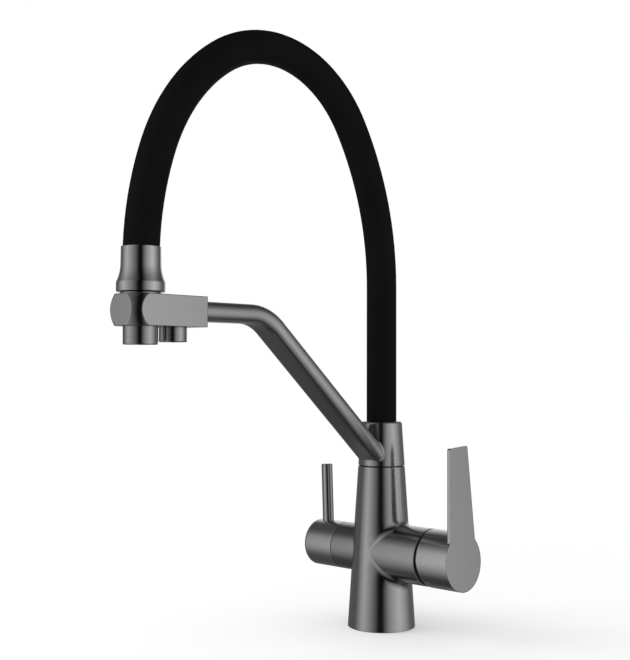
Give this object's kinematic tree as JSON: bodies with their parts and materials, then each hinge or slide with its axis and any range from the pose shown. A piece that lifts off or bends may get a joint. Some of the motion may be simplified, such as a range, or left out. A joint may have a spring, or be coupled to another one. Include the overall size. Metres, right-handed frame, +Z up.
{
  "type": "drinking water filter tap",
  "caption": "Kitchen tap with filtered drinking water: tapered column, side mixer lever, filter pin lever, high hose arch, flat arm and a head with main and small outlets.",
  "frame": {"origin": "centre of the foot's flat underside, where it stands on the worktop over the fixing hole", "axes": "+Z up along the column, the spout reaches towards -Y (the user's side), the mixer lever is on +X and the filter lever on -X"},
  "size_m": [0.1458, 0.2768, 0.4362],
  "materials": {
    "gun_grey_metal": "brushed gun-grey coating on brass",
    "brass": "turned, uncoated",
    "stainless_steel": "plain",
    "ceramic": "lapped ceramic",
    "black_plastic": "moulded",
    "cartridge_plastic": "moulded",
    "seal_rubber": "moulded",
    "black_silicone": "matte extruded"
  },
  "bodies": {
    "body": {"body_shell": "gun_grey_metal", "base_insert": "brass", "base_gasket": "seal_rubber", "cartridge_base": "cartridge_plastic", "port_seals": "seal_rubber", "fixed_disc": "ceramic", "cartridge_case": "cartridge_plastic", "retaining_nut": "brass", "cartridge_dome": "black_plastic", "seat_seal": "seal_rubber", "filter_headwork": "brass", "filter_fixed_disc": "ceramic", "glide_washer": "black_plastic"},
    "mixer_rotor": {"cartridge_rotor": "cartridge_plastic", "pivot_pin": "stainless_steel"},
    "mixer_disc": {"moving_disc": "ceramic", "disc_carrier": "cartridge_plastic"},
    "mixer_lever": {"lever_stem": "stainless_steel", "mixer_handle": "gun_grey_metal", "handle_grub_screw": "stainless_steel", "screw_cover": "black_plastic"},
    "filter_rotor": {"filter_spindle": "brass", "filter_moving_disc": "ceramic", "spindle_ring": "seal_rubber", "filter_knob": "gun_grey_metal", "filter_pin_lever": "gun_grey_metal", "knob_grub_screw": "stainless_steel"},
    "spout": {"swivel_spigot": "brass", "spigot_seals": "seal_rubber", "spigot_clip": "stainless_steel", "swivel_collar": "gun_grey_metal", "spout_arm": "gun_grey_metal", "arm_water_tube": "stainless_steel", "hose_tail": "brass", "hose_core": "seal_rubber", "support_tube": "stainless_steel", "hose_sleeve": "black_silicone", "hose_nut": "gun_grey_metal", "neck_seal": "seal_rubber", "neck_nipple": "gun_grey_metal", "head_block": "gun_grey_metal", "nozzle_housing": "gun_grey_metal", "nozzle_aerator": "black_plastic", "nozzle_screen": "stainless_steel", "nozzle_seal": "seal_rubber", "filter_outlet": "gun_grey_metal", "outlet_aerator": "black_plastic", "outlet_screen": "stainless_steel", "outlet_seal": "seal_rubber"}
  },
  "joints": [
    {"name": "spout_swivel", "type": "hinge", "parent": "body", "child": "spout", "pos_m": [0, 0, 0.1231], "axis": [0, 0, 1], "continuous": true},
    {"name": "mixer_temperature", "type": "hinge", "parent": "body", "child": "mixer_rotor", "pos_m": [0.033, 0, 0.0576], "axis": [1, 0, 0], "range_deg": [-45, 45]},
    {"name": "mixer_lift", "type": "hinge", "parent": "mixer_rotor", "child": "mixer_lever", "pos_m": [0.033, 0, 0.0576], "axis": [0, 1, 0], "range_deg": [0, 12]},
    {"name": "mixer_disc_slide", "type": "slide", "parent": "mixer_rotor", "child": "mixer_disc", "axis": [0, 0, 1], "range_m": [0, 0.0012]},
    {"name": "filter_turn", "type": "hinge", "parent": "body", "child": "filter_rotor", "pos_m": [-0.037, 0, 0.0576], "axis": [1, 0, 0], "range_deg": [0, 90]}
  ],
  "couplings": [
    {"joint": "mixer_disc_slide", "follows": "mixer_lift", "m_per_rad": 0.0053}
  ]
}
